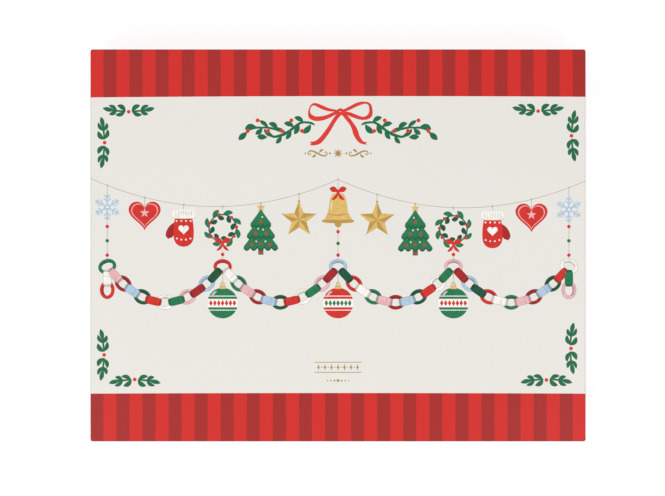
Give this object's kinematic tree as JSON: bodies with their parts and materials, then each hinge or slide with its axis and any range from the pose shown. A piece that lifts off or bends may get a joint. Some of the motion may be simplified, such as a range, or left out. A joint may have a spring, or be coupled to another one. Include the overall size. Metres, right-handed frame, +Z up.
{
  "type": "gift box with lift-off lid",
  "caption": "Flat rectangular rigid gift box with a lift-off lid wrapped in printed paper, with striped bands along its long edges, and a wrapped tray that holds flat paper goods.",
  "frame": {"origin": "centre of the base's underside", "axes": "+X along the lid's long side, +Y towards the top edge of the lid's print, +Z up, the way the lid lifts"},
  "size_m": [0.305, 0.2416, 0.0382],
  "materials": {
    "cream_wrap": "printed coated paper, satin",
    "striped_print": "two reds printed in stripes on the wrap, satin",
    "red_wrap": "printed coated paper, satin",
    "white_lined_board": "greyboard with a matt white liner",
    "stay_paper": "gummed kraft paper, matt"
  },
  "bodies": {
    "base": {"base_board": "white_lined_board", "base_wrap": "red_wrap", "base_stay_front_left": "stay_paper", "base_stay_front_right": "stay_paper", "base_stay_rear_right": "stay_paper", "base_stay_rear_left": "stay_paper"},
    "lid": {"lid_board": "white_lined_board", "lid_wrap": "cream_wrap", "lid_stay_front_left": "stay_paper", "lid_stay_front_right": "stay_paper", "lid_stay_rear_right": "stay_paper", "lid_stay_rear_left": "stay_paper", "print_band_rear": "striped_print", "print_band_front": "striped_print"}
  },
  "joints": [
    {"name": "lid_lift", "type": "slide", "parent": "base", "child": "lid", "axis": [0, 0, 1], "range_m": [0, 0.12]}
  ]
}
